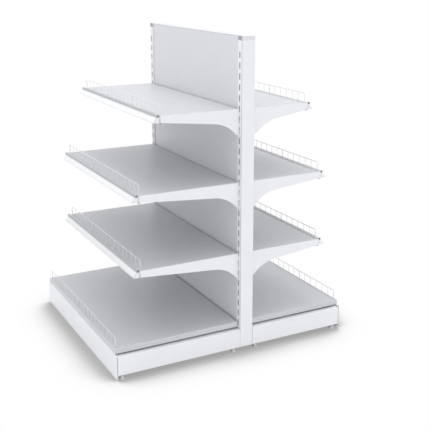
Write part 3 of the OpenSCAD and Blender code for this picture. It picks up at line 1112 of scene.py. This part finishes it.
    def fit(self, node: str, body: str, pieces: tuple[Fitting, Fitting, Fitting]) -> None:
        """Fit the pieces to one price rail.

        Args:
            node: the price rail.
            body: the body that carries it.
            pieces: plug, end plate and card.
        """
        plug, plate, card = pieces
        low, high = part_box(node)
        outward = 1 if "_right_" in node else -1
        inner = low.y if outward > 0 else high.y
        axis = Vector(((low.x + high.x) / 2, inner + outward * self.bead, high.z - self.bead))
        side = 0.0 if outward > 0 else math.pi
        for end, where, turn in ((1, "near", 0.0), (-1, "far", math.pi)):
            half = Vector((end * self.length / 2, 0.0, 0.0))
            beyond = Vector((end * self.cover / 2, 0.0, 0.0))
            plug.fit(f"{node}_plug_{where}", body, axis + half, turn)
            plate.fit(f"{node}_cap_{where}", body, axis + half + beyond, side)
        card.fit(f"{node}_card", body, axis, side)


@dataclass(frozen=True)
class LevellingFoot:
    """Levelling foot with a dished pad, hexagon nut and cut thread, in place of the plain one.

    Attributes:
        height: height of the screw's top.
        pad: bottom and top radius of the pad.
        pad_height: height of the pad's outer rim.
        pad_sides: corners of its section.
        pad_rounding: steps of its bevel.
        hub_steps: inset and rise of each step from the rim to the hub.
        nut: radius of the nut over its corners.
        nut_rise: bottom and top height of the nut.
        nut_sides: corners of its section.
        nut_rounding: steps of its bevel.
        core: radius of the screw's core.
        core_start: height where the core starts inside the nut.
        core_sides: corners of its section.
        crest: radius of the thread's crest.
        pitch: thread pitch.
        thread_start: height where the thread starts.
        thread_end: length of plain screw above the thread.
        root: how deep the thread's section sits in the core.
        flank: half the thread's width at the root as a share of the pitch.
        crest_share: width of the crest as a share of the root's.
        thread_steps: steps in one turn of the thread.
        bevel: bevel of pad and nut.
    """

    height: float
    pad: Span = (0.01358, 0.014)
    pad_height: float = 0.004
    pad_sides: int = 48
    pad_rounding: int = 3
    hub_steps: tuple[Span, ...] = ((0.0016, 0.0012), (0.0034, 0.0038))
    nut: float = 0.009
    nut_rise: Span = (0.009, 0.015)
    nut_sides: int = 6
    nut_rounding: int = 2
    core: float = 0.0043
    core_start: float = 0.0145
    core_sides: int = 32
    crest: float = 0.005
    pitch: float = 0.0015
    thread_start: float = 0.0158
    thread_end: float = 0.002
    root: float = 0.0004
    flank: float = 0.46
    crest_share: float = 0.2
    thread_steps: int = 16
    bevel: float = 0.0006

    @classmethod
    def like(cls, node: str) -> "LevellingFoot":
        """Take the height of a foot."""
        return cls(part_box(node)[1].z)

    def thread(self) -> bpy.types.Object:
        """Wind the thread from a small section with a screw modifier.

        Returns:
            The thread.
        """
        Shop.clear()
        bpy.ops.mesh.primitive_plane_add()
        piece = Shop.name("foot_thread")
        root, half = self.core - self.root, self.pitch * self.flank
        top = half * self.crest_share
        section = ((root, -half), (self.crest, -top), (root, half), (self.crest, top))
        for vertex, (reach, rise) in zip(piece.data.vertices, section):
            vertex.co = (reach, 0.0, rise)
        bpy.ops.object.modifier_add(type="SCREW")
        screw = piece.modifiers[-1]
        screw.axis = "Z"
        screw.steps = self.thread_steps
        screw.render_steps = self.thread_steps
        screw.screw_offset = self.pitch
        length = self.height - self.thread_end - self.thread_start
        screw.iterations = int(length / self.pitch)
        bpy.ops.object.modifier_apply(modifier=screw.name)
        piece.location.z = self.thread_start
        Shop.closed(piece)
        return Shop.settle(piece)

    def turned(self, name: str, span: Span, radii: Span, sides: int) -> bpy.types.Object:
        """Turn a part of the foot on its axis.

        Args:
            name: what the part is.
            span: its lower and upper height.
            radii: its lower and upper radius.
            sides: corners of its section.

        Returns:
            The part.
        """
        low, high = (Vector((0.0, 0.0, level)) for level in span)
        return Shop.turned(f"foot_{name}", low, high, radii, sides)

    def build(self, steel: bpy.types.Material) -> Fitting:
        """Model the foot with its pad on the origin.

        Args:
            steel: its finish.

        Returns:
            The foot.
        """
        pad = self.turned("pad", (0.0, self.pad_height), self.pad, self.pad_sides)
        Shop.edit_faces(pad, lambda face: face.normal.z > Shop.FACING)
        for inset, rise in self.hub_steps:
            Shop.step(inset, (0.0, 0.0, rise))
        bpy.ops.object.mode_set(mode="OBJECT")
        Shop.bevelled(pad, self.bevel, self.pad_rounding)
        nut = self.turned("nut", self.nut_rise, (self.nut, self.nut), self.nut_sides)
        Shop.bevelled(nut, self.bevel, self.nut_rounding)
        span = (self.core_start, self.height)
        core = self.turned("core", span, (self.core, self.core), self.core_sides)
        return Fitting(Shop.joined("foot", (pad, nut, core, self.thread())), steel, "zinc_wire")

    def fit(self, node: str, body: str, foot: Fitting) -> None:
        """Stand the foot in the place of one CAD node.

        Args:
            node: the foot node it stands for.
            body: its body.
            foot: the modelled foot.
        """
        low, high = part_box(node)
        middle = (low + high) / 2
        piece = foot.fit(f"{node}_turned", body, (middle.x, middle.y, 0.0))
        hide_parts(node)


@dataclass(frozen=True)
class SoftLamp:
    """One rectangular studio lamp.

    Attributes:
        name: lamp name.
        place: position in metres.
        aim: point it faces.
        size: width and height.
        power: watts.
    """

    name: str
    place: Place
    aim: Place
    size: Span
    power: float

    def build(self) -> None:
        """Add the lamp to the scene."""
        lamp = bpy.data.lights.new(self.name, "AREA")
        lamp.shape = "RECTANGLE"
        lamp.size, lamp.size_y = self.size
        lamp.energy = self.power
        holder = bpy.data.objects.new(self.name, lamp)
        holder.location = self.place
        way = Vector(self.aim) - Vector(self.place)
        holder.rotation_euler = way.to_track_quat("-Z", "Y").to_euler()
        bpy.context.scene.collection.objects.link(holder)


@dataclass(frozen=True)
class Studio:
    """White room: world light, floor that keeps the shadow, and lamps.

    Attributes:
        lamps: the lamps.
        sky: strength of the even light on the object.
        sky_tone: its colour.
        floor_half: half the floor's width.
        floor_tone: colour of the floor in the open.
        shade_tone: colour that the camera sees in the floor under the object.
        floor_lift: share of plain white the camera sees in the floor under the object.
        contact_reach: distance over which the object closes off the floor.
        contact_rays: rays that look for it.
        contact: open share of the sky where the floor's shadow is deepest and where it ends.
    """

    lamps: tuple[SoftLamp, ...]
    sky: float = 0.96
    sky_tone: Colour = (0.965, 0.975, 1.0)
    floor_half: float = 30.0
    floor_tone: Colour = (0.9, 0.9, 0.9)
    shade_tone: Colour = (0.2, 0.198, 0.2)
    floor_lift: float = 0.34
    contact_reach: float = 0.28
    contact_rays: int = 16
    contact: Span = (0.57, 1.0)

    def world(self) -> None:
        """White for the camera and for reflections, even pale light for the rest."""
        world = bpy.data.worlds.new("studio_world")
        bpy.context.scene.world = world
        world.use_nodes = True
        graph = Graph(world.node_tree)
        out = graph.node("ShaderNodeOutputWorld")
        light, plain = (
            graph.node("ShaderNodeBackground", Color=(*tone, 1.0), Strength=strength)
            for tone, strength in ((self.sky_tone, self.sky), (WHITE, 1.0))
        )
        graph.link(graph.blend(graph.seen(), light, plain), out.inputs["Surface"])

    def floor(self) -> None:
        """Pale floor: white to the camera, but still shadowed, with a painted contact shadow
        round the object.
        """
        Shop.clear()
        bpy.ops.mesh.primitive_plane_add(size=2 * self.floor_half)
        floor = Shop.name("studio_floor")
        floor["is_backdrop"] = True
        material = bpy.data.materials.new("studio_floor")
        material.use_nodes = True
        graph = Graph(material.node_tree)
        out = graph.node("ShaderNodeOutputMaterial")
        matt = graph.node("ShaderNodeBsdfDiffuse")
        glow = graph.node("ShaderNodeEmission", Color=(*WHITE, 1.0), Strength=1.0)
        seen = graph.seen()
        # Painted contact shadow: ambient occlusion darkens the floor's colour near the object,
        # for the camera only.
        look = graph.node("ShaderNodeAmbientOcclusion", Distance=self.contact_reach)
        look.samples = self.contact_rays
        clear = graph.band(look.outputs["AO"], *self.contact)
        pale = graph.math("MAXIMUM", clear, graph.less(1.0, seen))
        graph.link(graph.mix(pale, self.shade_tone, self.floor_tone), matt.inputs["Color"])
        lift = graph.math("ADD", graph.product(clear, 1.0 - self.floor_lift), self.floor_lift)
        shader = graph.blend(graph.product(seen, lift), matt, glow)
        graph.link(shader, out.inputs["Surface"])
        floor.data.materials.append(material)

    def build(self) -> None:
        """Set up the room."""
        self.world()
        self.floor()
        for lamp in self.lamps:
            lamp.build()


@dataclass(frozen=True)
class PhotoCamera:
    """Camera at the photograph's viewing angle.

    Attributes:
        place: position in metres.
        yaw: turn about the vertical in degrees.
        pitch: tilt down in degrees.
        focal_px: focal length in pixels of the photograph.
        centre_px: height of the optical axis in the photograph.
        frame_px: size of the square photograph.
        sensor: sensor width in millimetres.
        far: end of the view in metres.
    """

    place: Place = (3.76476, -1.82511, 1.83268)
    yaw: float = 62.184
    pitch: float = 12.412
    focal_px: float = 825.36
    centre_px: float = 150.0
    frame_px: float = 430.0
    sensor: float = 36.0
    far: float = 100.0

    def build(self) -> None:
        """Add the camera and make it the scene's own."""
        data = bpy.data.cameras.new("photo_camera")
        data.sensor_width = self.sensor
        data.lens = self.focal_px * self.sensor / self.frame_px
        data.shift_y = -(self.frame_px / 2 - self.centre_px) / self.frame_px
        data.clip_end = self.far
        holder = bpy.data.objects.new("photo_camera", data)
        holder.location = self.place
        holder.rotation_euler = (math.radians(90.0 - self.pitch), 0.0, math.radians(self.yaw))
        bpy.context.scene.collection.objects.link(holder)
        bpy.context.scene.camera = holder


@dataclass(frozen=True)
class Gondola:
    """The whole bay: finishes for the CAD nodes and the pieces added to them.

    Attributes:
        finishes: finish of each family.
        card: finish of the label cards.
        plug: finish of the plugs in the price rails.
    """

    finishes: dict[Body, Finish]
    card: Finish
    plug: Finish

    def family(self, node: str) -> Body:
        """Find the family of a node."""
        return next(kind for kind in Body if node.startswith(kind.value))

    def first(self, kind: Body, nodes: Iterable[str]) -> str:
        """Find the first node of a family."""
        return next(node for node in nodes if self.family(node) is kind)

    def dress(self, node: str, finish: bpy.types.Material) -> None:
        """Give a CAD node its finish.

        Args:
            node: the node's name.
            finish: the finish.
        """
        mesh = bpy.data.objects[node].data
        if not len(mesh.materials):
            mesh.materials.append(finish)
        for index in range(len(mesh.materials)):
            mesh.materials[index] = finish
        LOG.info("%s wears %s", node, finish.name)

    def build(self) -> None:
        """Dress the CAD nodes and add the pieces."""
        age = SurfaceAge()
        made = {kind: finish.build(age) for kind, finish in self.finishes.items()}
        paper, plug = self.card.build(age), self.plug.build(age)
        bodies = frame["record"]["behaviour"]["bodies"]
        carried = {node: body for body, nodes in bodies.items() for node in nodes}
        trim = RailTrim.like(self.first(Body.RAIL, carried))
        foot = LevellingFoot.like(self.first(Body.FOOT, carried))
        rail_pieces = trim.build(plug, made[Body.RAIL], paper)
        foot_piece = foot.build(made[Body.FOOT])
        for node, body in carried.items():
            kind = self.family(node)
            self.dress(node, made[kind])
            if kind is Body.RAIL:
                trim.fit(node, body, rail_pieces)
            elif kind is Body.FOOT:
                foot.fit(node, body, foot_piece)
        for piece in (*rail_pieces, foot_piece):
            piece.put_away()
        LOG.info("%d nodes dressed, %d families", len(carried), len(made))


def make_gondola() -> Gondola:
    """Choose the finishes of the bay.

    Returns:
        The bay, ready to build.
    """
    white = (0.885, 0.885, 0.905)
    shelf_grey = (0.618, 0.626, 0.645)
    panel_grey = (0.715, 0.72, 0.738)
    rail_white = (0.87, 0.872, 0.885)
    cap_grey = (0.785, 0.787, 0.8)
    wire_grey = (0.8, 0.805, 0.82)
    foot_grey = (0.88, 0.88, 0.89)
    card_white = (0.9, 0.9, 0.9)
    plug_dark = (0.16, 0.16, 0.17)
    return Gondola(
        finishes={
            Body.COATED: PowderCoat("white_coat", white, 0.42, dust=0.03),
            Body.UPRIGHT: SlottedCoat("slotted_coat", white, 0.42, dust=0.03),
            Body.PLINTH: PowderCoat("plinth_coat", white, 0.45, scuff_height=0.14),
            Body.SHELF: PowderCoat("shelf_coat", shelf_grey, 0.4, drift=0.08, dust=0.09),
            Body.PANEL: PowderCoat("panel_coat", panel_grey, 0.4, drift=0.08),
            Body.RAIL: ExtrudedPlastic("rail_plastic", rail_white, 0.38),
            Body.CAP: MouldedPlastic("cap_plastic", cap_grey, 0.5, dust=0.12),
            Body.WIRE: ZincPlate("bright_wire", wire_grey, 0.3, metallic=0.25),
            Body.FOOT: ZincPlate(
                "zinc_foot", foot_grey, 0.38, drift=0.15, dust=0.1, metallic=0.2
            ),
        },
        card=CardStock("label_card", card_white, 0.6, drift=0.03, dust=0.0),
        plug=MouldedPlastic("plug_plastic", plug_dark, 0.45, side=plug_dark),
    )


def make_studio() -> Studio:
    """Choose the light of the photograph: a bright even room and three large soft lamps.

    Returns:
        The studio, ready to build.
    """
    return Studio(
        lamps=(
            SoftLamp("overhead", (0.2, 0.1, 4.4), (0.0, 0.0, 0.9), (2.4, 2.4), 32.0),
            SoftLamp("left_steep", (0.4, -2.7, 4.2), (0.0, -0.3, 0.7), (2.4, 1.6), 10.0),
            SoftLamp("right_high", (0.4, 4.4, 3.2), (0.0, 0.0, 0.5), (3.0, 1.6), 20.0),
        ),
    )


def note_size(name: str, store: dict[str, list[list[float]]]) -> None:
    """Args:
        name: moment of the measurement.
        store: the sizes so far.
    """
    store[name] = [list(corner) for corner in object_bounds()]


def main() -> None:
    """Build the scene in order."""
    logging.basicConfig(level=logging.INFO, format="%(message)s")
    sizes: dict[str, list[list[float]]] = {}
    note_size("loaded", sizes)
    bpy.context.scene.view_settings.view_transform = "Standard"
    make_gondola().build()
    make_studio().build()
    PhotoCamera().build()
    note_size("finished", sizes)
    LOG.info("scene built")


if __name__ == "__main__":
    main()
